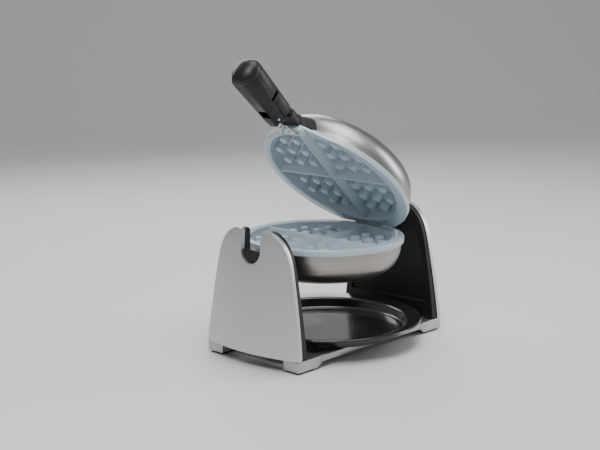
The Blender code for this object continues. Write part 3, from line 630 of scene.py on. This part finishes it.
def build_clip(mats):
    """Bent wire clip under the tab."""
    z = PARTING_Z - TAB_DEPTH - 1.6
    route = [(-117.0, 17.5, z + 0.3), (-122.0, 14.5, z), (-130.0, 7.5, z), (-136.6, 1.2, z),
             (-137.6, -1.2, z), (-135.8, -4.0, z), (-129.0, -7.5, z), (-121.0, -11.0, z),
             (-117.0, -13.0, z + 0.3)]
    clip = link("wire_clip", tube(smooth_line(route, 5), 1.25, 16))
    place(clip, "wire_clip", mats["steel"], "lid", LID, ("neck_clip",), "zinc_steel")


def build_upper_plate(mats):
    """Upper grid plate, with the hinge's ears, the front tab and two screws."""
    plate = plate_blank("upper_grid_plate")
    hz = -(PIN_Z - PARTING_Z - GAP)
    inner = KNUCKLE_HALF + GAP
    cut(plate, box((103.6, -60, -30), (130, 60, 5)))
    cut(plate, box((98.5, -inner, -30), (130, inner, 5)))
    for near, far in ((inner, EAR_OUTER), (-EAR_OUTER, -inner)):
        join(plate, rod((PIN_X, near, hz), (PIN_X, far, hz), KNUCKLE_RADIUS))
        join(plate, box((99.0, near, hz - 4.6), (PIN_X, far, -0.2)))
    cut(plate, rod((PIN_X, -60, hz), (PIN_X, 60, hz), 2.3, segments=32))
    for sign in (-1, 1):
        cut(plate, rod((PIN_X, sign * EAR_OUTER, hz), (PIN_X, sign * 54, hz), 4.2))
    web = link("web", prism(web_outline(), -PLATE_WALL, 0.0, "XY"))
    cut(web, rod((WELL_X, 0, -10.0), (WELL_X, 0, 10.0), WELL_RADIUS + 7.0, segments=144))
    merge(plate, web)
    tab = link("tab", prism(tab_outline(), -PLATE_WALL, TAB_DEPTH, "XY"))
    soften(tab, 1.2, 4)
    cut(tab, rod((0, 0, 0.0), (0, 0, 30), RIM_RADIUS + 2 * GAP, segments=144))
    for x, y in ((-120.5, -3.0), (-122.0, 13.0)):
        cut(tab, rod((x, y, 3.0), (x, y, 30), 1.9, segments=24))
    for y in (-40.0, 40.0):
        cut(plate, rod((93.5, y, -1.6), (93.5, y, 3.0), 3.1, 3.5, 32))
    merge(plate, tab)
    place(plate, "upper_grid_plate", mats["ceramic"], "lid", UPPER, ("upper_plate",), "ceramic_plate")
    for name, y in (("lid_screw_front", 40.0), ("lid_screw_rear", -40.0)):
        head = link(name, rod((93.5, y, -1.5), (93.5, y, -0.4), 2.8, 2.4, 32))
        cut(head, box((90.0, y - 0.35, -0.9), (97.0, y + 0.35, 1.0)))
        cut(head, box((93.15, y - 4, -0.9), (93.85, y + 4, 1.0)))
        soften(head, 0.15, 2)
        place(head, name, mats["steel"], "lid", UPPER, (), "zinc_steel")


# ---------------------------------------------------------------- domes and collars

def dome_curve():
    """Outer profile of a dome from its rim down to its middle: upright, then closing smoothly."""
    points = [(DOME_RADIUS, -PLATE_WALL - GAP), (DOME_RADIUS, -10.0), (110.2, -20.0), (106.6, -31.0),
              (98.5, -42.5), (84.5, -51.5), (62.0, -57.0), (32.0, -DOME_DEPTH + 0.4), (0.0, -DOME_DEPTH)]
    return smooth_line(points, 6)


def offset_profile(profile, distance):
    """A profile moved inwards along its normals, towards the axis and the parting plane."""
    moved = []
    for i, p in enumerate(profile):
        a = Vector(profile[max(0, i - 1)])
        b = Vector(profile[min(len(profile) - 1, i + 1)])
        along = (b - a).normalized()
        q = Vector(p) + Vector((along.y, -along.x)) * distance
        moved.append((max(0.0, q.x), q.y))
    moved[-1] = (0.0, moved[-1][1])
    return moved


def dome_shell(name):
    """Sheet steel cover of a plate, as a closed shell open towards the plate."""
    outer = dome_curve()
    inner = offset_profile(outer, 1.0)
    inner[0] = (inner[0][0], outer[0][1])
    mouth = [(outer[0][0] - 0.5, outer[0][1] + 0.15)]
    return link(name, lathe(list(reversed(inner)) + mouth + outer))


def dome_envelope():
    """The outside of a closed dome and rim with a running gap, to cut neighbours to fit."""
    g = GAP
    curve = [(r + g if r else r, z) for r, z in dome_curve()]
    curve = [p for p in curve if p[1] < -RIM_BAND - g]
    profile = [(0.0, 0.5), (RIM_RADIUS + g, 0.5), (RIM_RADIUS + g, -RIM_BAND - g),
               (DOME_RADIUS + g, -RIM_BAND - g)] + curve
    return lathe(profile)


def build_domes(mats):
    """Steel covers of both plates."""
    lower = dome_shell("lower_cover")
    place(lower, "lower_cover", mats["brushed"], "head", HEAD, ("lower_dome",), "brushed_dome", 50)
    upper = dome_shell("upper_cover")
    cut(upper, box((96, -EAR_OUTER - 1, -14.2), (130, EAR_OUTER + 1, 5)))
    place(upper, "upper_cover", mats["brushed"], "lid", UPPER, ("upper_dome",), "brushed_dome", 50)


def half_collar(name, recess):
    """Half a journal below height 0, with a grooved neck and a flange that flares into the dome."""
    r = JOURNAL_RADIUS
    profile = [(0.0, 0.0), (r - 1.6, 0.0), (r, 1.6), (r, 16.2), (r - 1.2, 16.8), (r - 1.2, 18.2),
               (r + 2.4, 19.0), (r + 3.2, 20.0), (r + 3.2, 24.4), (33.0, 43.0), (33.0, 47.0), (0.0, 47.0)]
    profile = rounded(profile, (0.5, 0.5, 0.4, 0.3, 0.3, 0.3, 0.6, 0.8, 4.0, 1.0, 0.5), 4)
    bm = lathe(profile, segments=96)
    bm.transform(Matrix.Translation((-147.0, 0, 0)) @ Matrix.Rotation(math.pi / 2, 4, "Y"))
    bmesh.ops.recalc_face_normals(bm, faces=bm.faces)
    collar = link(name, bm)
    cut(collar, box((-160, -50, -0.15), (-90, 50, 50)))
    cut(collar, dome_envelope())
    cut(collar, recess)
    return soften(collar, 0.5, 2, 50)


def build_collars(mats):
    """Half collars of head and lid, each cut back for the lid's tab."""
    lower = half_collar("lower_journal", box((-140.5, -46, -9.8), (-90, 46, 1.0)))
    place(lower, "lower_journal", mats["black"], "head", HEAD, ("lower_collar",), "black_plastic")
    upper = half_collar("upper_journal", box((-128.7, -46, -PLATE_WALL - GAP), (-90, 46, 1.0)))
    place(upper, "upper_journal", mats["black"], "lid", UPPER, ("upper_collar",), "black_plastic")


# ---------------------------------------------------------------- stand

def stand_half_width(z):
    """Half the panel's width at a height: a slightly convex side under a rounded shoulder."""
    side = STAND_HALF_WIDTH - 20.0 * ((z - STAND_BOTTOM_Z) / 127.5) ** 1.25
    rise = max(0.0, (z - SHOULDER_Z) / (STAND_TOP_Z - SHOULDER_Z))
    return side * (1.0 - rise ** SHOULDER_POWER) ** (1.0 / SHOULDER_POWER)


def side_heights():
    """Heights down one side of the panel's outline, from just off the middle of the top."""
    reach = STAND_TOP_Z - SHOULDER_Z
    turns = [math.radians(a) for a in (82, 77, 72, 66.5, 61, 55.5, 50, 44.5, 39, 33, 27, 20.5, 14, 7)]
    shoulder = [SHOULDER_Z + reach * math.sin(a) ** (2.0 / SHOULDER_POWER) for a in turns]
    drop = (SHOULDER_Z - STAND_BOTTOM_Z) / 12
    return shoulder + [SHOULDER_Z - drop * i for i in range(13)]


def inset(points, distance, closed=True):
    """Move an outline, listed clockwise, inwards by a distance; an open one ends on a flat base."""
    moved = []
    for i, p in enumerate(points):
        before, after = Vector(points[i - 1]), Vector(points[(i + 1) % len(points)])
        if not closed and i == 0:
            before = Vector(p) + Vector((1.0, 0.0) if p[0] < 0 else (-1.0, 0.25))
        if not closed and i == len(points) - 1:
            after = Vector(p) + Vector((-1.0, 0.0) if p[0] > 0 else (1.0, 0.25))
        into, out = (Vector(p) - before).normalized(), (after - Vector(p)).normalized()
        n1, n2 = Vector((into.y, -into.x)), Vector((out.y, -out.x))
        mitre = (n1 + n2).normalized()
        moved.append(tuple(Vector(p) + mitre * (distance / max(0.4, mitre.dot(n1)))))
    return moved


def stand_outline(distance=0.0, notched=False):
    """The panel's outline in Y and Z, drawn in by a distance, with or without the U notch."""
    right = [(stand_half_width(z), z) for z in side_heights()]
    left = [(-y, z) for y, z in reversed(right)]
    if notched:
        reach = NOTCH_RADIUS + distance
        right = [p for p in right if p[0] > reach + 8.0]
        left = [p for p in left if p[0] < -reach - 8.0]
        top = arc((reach + 5.0, STAND_TOP_Z - 7.6 - distance), 5.0, 180, 90, 5)
        bottom = arc((0.0, PARTING_Z), reach, 180, 360, 28)
        notch = [(-y, z) for y, z in reversed(top)] + bottom + top
        return inset(left, distance, False) + notch + inset(right, distance, False)
    return inset(left + [(0.0, STAND_TOP_Z)] + right, distance)


def outer_face(side, y, z):
    """X of a stand's outer face; side is -1 on the handle side and +1 on the hinge side."""
    lean = STAND_LEAN * (z - STAND_BOTTOM_Z) / (PARTING_Z - STAND_BOTTOM_Z)
    reach = STAND_HALF_LENGTH + STAND_BOW * (1.0 - (y / STAND_HALF_WIDTH) ** 2) - lean
    return STAND_MIDDLE_X + side * reach


def bowed_slab(side, depth, thickness=0.0, inner=None):
    """A slab that follows the outer face at a depth, of a thickness or down to a flat X."""
    bm = bmesh.new()
    bmesh.ops.create_grid(bm, x_segments=30, y_segments=6, size=1.0)
    for vert in bm.verts:
        y, z = vert.co.x * (STAND_HALF_WIDTH + 8.0), 102.0 + vert.co.y * 96.0
        vert.co = (outer_face(side, y, z) - side * depth, y, z)
    made = bmesh.ops.extrude_face_region(bm, geom=bm.faces[:])
    for vert in [v for v in made["geom"] if isinstance(v, bmesh.types.BMVert)]:
        vert.co.x = vert.co.x - side * thickness if inner is None else inner
    bmesh.ops.recalc_face_normals(bm, faces=bm.faces)
    return bm


def across(side, near, far=190.0):
    """An X range on one side of the stands' middle, in rising order."""
    return sorted((STAND_MIDDLE_X + side * near, STAND_MIDDLE_X + side * far))


def build_stand_shell(name, side, notched, mats, node):
    """Stamped silver panel: rounded outer edge, skirt turned inwards, hollow behind."""
    shell = link(name, bowed_slab(side, 0.0, SKIRT))
    keep(shell, prism(stand_outline(0.0, notched), *across(side, 100.0), "YZ"))
    soften(shell, 2.2, 5, 50)
    hollow = link("hollow", bowed_slab(side, SKIN, SKIRT + 6.0))
    keep(hollow, prism(stand_outline(SKIN, notched), *across(side, 100.0), "YZ"))
    bm = bmesh.new()
    bm.from_mesh(hollow.data)
    bpy.data.objects.remove(hollow, do_unlink=True)
    cut(shell, bm)
    place(shell, name, mats["silver"], "base", BASE, (node,), "stand_steel")


def build_inner_cover(name, side, notched, mats, node):
    """Black moulded cover inside a stand; the hinge side's has a raised border and a ledge."""
    face = STAND_MIDDLE_X + side * INNER_FACE
    edge = SKIN + GAP
    cover = link(name, bowed_slab(side, SKIN + GAP, inner=face))
    keep(cover, prism(stand_outline(edge, notched), *across(side, 100.0), "YZ"))
    soften(cover, 1.2, 3, 50)
    floor = COVER_WALL if notched else 3.4 + COVER_WALL
    cut(cover, prism(stand_outline(edge + COVER_WALL, notched), *across(side, INNER_FACE + floor), "YZ"))
    if not notched:
        recess = [p for p in stand_outline(11.0) if p[1] > STAND_BOTTOM_Z + 22.0]
        recess = [(recess[0][0] - 0.6, 42.0)] + recess + [(recess[-1][0] + 0.6, 42.0)]
        tool = link("recess", prism(recess, face - 6.0, face + 3.4, "YZ"))
        soften(tool, 2.4, 4, 40)
        bm = bmesh.new()
        bm.from_mesh(tool.data)
        bpy.data.objects.remove(tool, do_unlink=True)
        cut(cover, bm)
        cut(cover, rod((136, 0, PARTING_Z), (166, 0, PARTING_Z), 12.3))
    place(cover, name, mats["black"], "base", BASE, (node,), "black_plastic")


def build_stand(mats):
    """Both stands: a silver panel with a black cover inside it."""
    build_stand_shell("left_panel", -1, True, mats, "left_stand_shell")
    build_stand_shell("right_panel", 1, False, mats, "right_stand_shell")
    build_inner_cover("left_cover", -1, True, mats, "left_inner_cover")
    build_inner_cover("right_cover", 1, False, mats, "right_inner_cover")


def build_tray(mats):
    """Drip tray: flat floor, well wall, wide sloping rim and rolled edge, with fillets."""
    z, r = TRAY_BOTTOM_Z, TRAY_RADIUS
    top = [(0.0, z + 1.6), (106.0, z + 1.6), (110.0, z + 3.4), (114.6, z + 14.2), (117.5, z + 15.8),
           (r - 3.0, TRAY_RIM_Z), (r - 0.6, TRAY_RIM_Z - 0.7), (r, TRAY_RIM_Z - 3.0),
           (r - 1.6, TRAY_RIM_Z - 3.0), (r - 3.6, TRAY_RIM_Z - 1.8), (118.0, z + 13.8),
           (115.8, z + 12.6), (111.4, z + 2.0), (107.0, z), (0.0, z)]
    radii = (3.0, 3.0, 2.0, 2.0, 1.4, 1.2, 0.6, 0.5, 1.0, 2.0, 2.0, 3.0, 3.0)
    tray = link("drip_tray_dish", lathe(rounded(top, radii, 4), segments=180))
    place(tray, "drip_tray_dish", mats["tray"], "drip_tray", Matrix.Translation((STAND_MIDDLE_X, 0, 0)),
          ("drip_tray",), "tray_enamel", 50)


# ---------------------------------------------------------------- handle

def handle_ring(x, draw_in=0.0, shrink=1.0):
    """The handle's cross-section at a place along X: eight sides with well-rounded corners."""
    along = (HANDLE_ROOT_X - x) / (HANDLE_ROOT_X - HANDLE_TIP_X)
    w, h = 16.5 + 3.3 * along - draw_in, 18.0 + 3.2 * along - draw_in
    a, b = w * (1.0 - CHAMFER), h * CHAMFER
    corners = [(w, -b), (w, b), (a, h), (-a, h), (-w, b), (-w, -b), (-a, -h), (a, -h)]
    outline = rounded([(w, -b - 1.0)] + corners + [(a + 1.0, -h + 1.0)], (CORNER_RADIUS,) * 8, 5)[1:-1]
    return [(x, y * shrink, HANDLE_Z + z * shrink) for y, z in outline]


def loft(rings):
    """A closed solid through rings of points."""
    bm = bmesh.new()
    rows = [[bm.verts.new(p) for p in ring] for ring in rings]
    for first, second in zip(rows, rows[1:]):
        for i in range(len(first)):
            j = (i + 1) % len(first)
            bm.faces.new((first[i], first[j], second[j], second[i]))
    bm.faces.new(rows[0])
    bm.faces.new(rows[-1])
    bmesh.ops.recalc_face_normals(bm, faces=bm.faces)
    return bm


def handle_bar():
    """The grip between its root and its cap, with its end edges rounded over."""
    edge = ((0.0, 2.2), (0.5, 1.1), (1.2, 0.4), (2.2, 0.0))
    root = [handle_ring(HANDLE_ROOT_X - d, draw) for d, draw in edge]
    end = [handle_ring(HANDLE_CAP_X + d, draw) for d, draw in ((0.4, 0.0), (0.1, 0.15), (0.0, 0.4))]
    return loft(root + end)


def handle_cap():
    """The rounded end of the grip: a straight collar that closes into a full dome."""
    start = HANDLE_CAP_X - GAP
    length = start - CAP_END_X
    rings = [handle_ring(start, 0.4), handle_ring(start - 0.1, 0.15), handle_ring(start - 0.4)]
    for i in range(1, 16):
        t = math.sin(math.radians(6.0 * i))
        shrink = (1.0 - min(t, 0.9995) ** CAP_POWER) ** (1.0 / CAP_POWER)
        rings.append(handle_ring(start - 0.4 - (length - 0.4) * t, 0.0, shrink))
    return loft(rings)


def build_handle(mats):
    """Two hollow shells with a seam between them, slots for button and neck, and the cap."""
    halves = {"upper": (HANDLE_Z + SEAM, 200.0), "lower": (100.0, HANDLE_Z - SEAM)}
    for half, (low, high) in halves.items():
        shell = link("grip_" + half, handle_bar())
        ends = (HANDLE_ROOT_X - 3.0, HANDLE_CAP_X + 3.0)
        cut(shell, loft([handle_ring(x, HANDLE_WALL) for x in ends]))
        keep(shell, box((-300, -40, low), (-100, 40, high)))
        cut(shell, box(*BUTTON_SLOT))
        if half == "lower":
            cut(shell, box(*NECK_SLOT))
            fold_hole = rod((FOLD_X, -30, FOLD_Z), (FOLD_X, 30, FOLD_Z), FOLD_HOLE_RADIUS, segments=32)
            cut(shell, fold_hole)
        soften(shell, 0.4, 2, 50)
        place(shell, "grip_" + half, mats["handle"], "handle", LID, (f"handle_{half}_shell",),
              "handle_plastic")
    place(link("grip_cap", handle_cap()), "grip_cap", mats["handle"], "handle", LID,
          ("handle_tip_cap",), "handle_plastic")


# ---------------------------------------------------------------- carried-over CAD nodes

def refine(node, name, mat, slot, body, width, segments=3, angle=35.0):
    """A CAD node's own shape with rounded edges and a finer finish."""
    piece = node_copy(node)
    soften(piece, width, segments, angle)
    place(piece, name, mat, body, BASE, (node,), slot)


def build_small_pieces(mats):
    """Bars, feet, hinge, button, neck and dial, from the CAD shapes."""
    for end in ("front", "rear"):
        refine(end + "_bar", end + "_rail", mats["foot"], "stand_steel", "base", 0.7)
        refine(end + "_bar_screw", end + "_rail_screw", mats["steel"], "zinc_steel", "base", 0.3, 2)
        for side in ("left", "right"):
            corner = f"{end}_{side}"
            refine("foot_" + corner, "foot_block_" + corner, mats["foot"], "stand_steel", "base", 0.9)
            refine("foot_pad_" + corner, "pad_" + corner, mats["rubber"], "foot_rubber", "base", 0.6)
    refine("hinge_bracket", "hinge_knuckle", mats["casting"], "hinge_casting", "head", 0.4, 2)
    refine("release_button", "thumb_button", mats["handle"], "handle_plastic", "release_button", 0.5)
    refine("handle_neck", "neck", mats["black"], "black_plastic", "lid", 0.6, 3)
    refine("temperature_dial", "dial_knob", mats["black"], "black_plastic", "temperature_dial", 0.8, 3)


def paint_nodes(mats):
    """Materials of the CAD nodes that stay as they are."""
    paint = {"steel": ("hinge_pin", "handle_fold_pin", "trunnion_shaft", "trunnion_retainer",
                       "lower_heating_element", "upper_heating_element", "thermostat"),
             "nylon": ("trunnion_bush", "control_switch", "terminal_block", "thermal_fuse"),
             "black": ("cord_gland",), "red": ("power_lamp",), "green": ("ready_lamp",)}
    for key, nodes in paint.items():
        for node in nodes:
            mesh = frame["nodes"][node].data
            mesh.materials.clear()
            mesh.materials.append(mats[key])


# ---------------------------------------------------------------- stage, light and camera

def build_stage():
    """A plain pale floor that runs up into a backdrop."""
    sweep = [(-4000.0, 0.0)] + [(x, z) for x, z in arc((2200.0, 1500.0), 1500.0, 270, 360, 24)]
    sweep.append((sweep[-1][0], 5000.0))
    bm = bmesh.new()
    rows = [[bm.verts.new((x, y, z)) for x, z in sweep] for y in (-6000.0, 6000.0)]
    for i in range(len(sweep) - 1):
        bm.faces.new((rows[0][i], rows[0][i + 1], rows[1][i + 1], rows[1][i]))
    bm.transform(Matrix.Rotation(math.atan2(VIEW.y, VIEW.x), 4, "Z"))
    bmesh.ops.recalc_face_normals(bm, faces=bm.faces)
    floor = link("floor", bm)
    floor.data.transform(Matrix.Scale(MM, 4))
    floor.data.shade_smooth()
    s = Surface("pale_floor", (0.70, 0.70, 0.695), 0.6)
    s.rough(s.noise(s.place(), 3.0), 0.05)
    floor.data.materials.append(s.mat)


def area_light(name, position, target, size, power, colour=(1.0, 1.0, 1.0)):
    """A rectangular light that faces a point; places are in metres."""
    data = bpy.data.lights.new(name, "AREA")
    data.shape = "RECTANGLE"
    data.size, data.size_y = size
    data.energy = power
    data.color = colour
    lamp = bpy.data.objects.new(name, data)
    lamp.location = position
    aim = Vector(target) - Vector(position)
    lamp.rotation_euler = aim.to_track_quat("-Z", "Y").to_euler()
    bpy.context.scene.collection.objects.link(lamp)


def build_light():
    """Soft studio light: four area lights and a pale world."""
    world = bpy.data.worlds.new("studio")
    world.use_nodes = True
    world.node_tree.nodes["Background"].inputs["Color"].default_value = (0.86, 0.88, 0.9, 1.0)
    world.node_tree.nodes["Background"].inputs["Strength"].default_value = 0.38
    bpy.context.scene.world = world
    middle = (0.0, 0.0, 0.2)
    area_light("key_light", (-0.9, -0.6, 1.7), middle, (1.0, 0.8), 24.0, (1.0, 0.985, 0.96))
    area_light("top_light", (0.3, -0.2, 1.9), middle, (1.4, 1.0), 20.0)
    area_light("side_light", (1.5, -1.0, 0.8), middle, (0.5, 1.2), 13.0, (0.96, 0.98, 1.0))
    area_light("back_light", (0.6, 1.3, 1.0), middle, (1.6, 0.6), 12.0, (0.97, 0.98, 1.0))


def build_camera():
    """The camera stands where the photograph was taken from."""
    data = bpy.data.cameras.new("view")
    data.lens = 80.66
    data.sensor_width = 36.0
    data.clip_start, data.clip_end = 0.05, 50.0
    camera = bpy.data.objects.new("view", data)
    camera.location = (-1.41825, -1.23487, 0.53978)
    camera.rotation_euler = VIEW.to_track_quat("-Z", "Y").to_euler()
    bpy.context.scene.collection.objects.link(camera)
    bpy.context.scene.camera = camera


mats = make_materials()
build_camera()
build_stage()
build_light()
build_stand(mats)
build_tray(mats)
build_lower_plate(mats)
build_upper_plate(mats)
build_domes(mats)
build_collars(mats)
build_clip(mats)
build_handle(mats)
build_small_pieces(mats)
paint_nodes(mats)
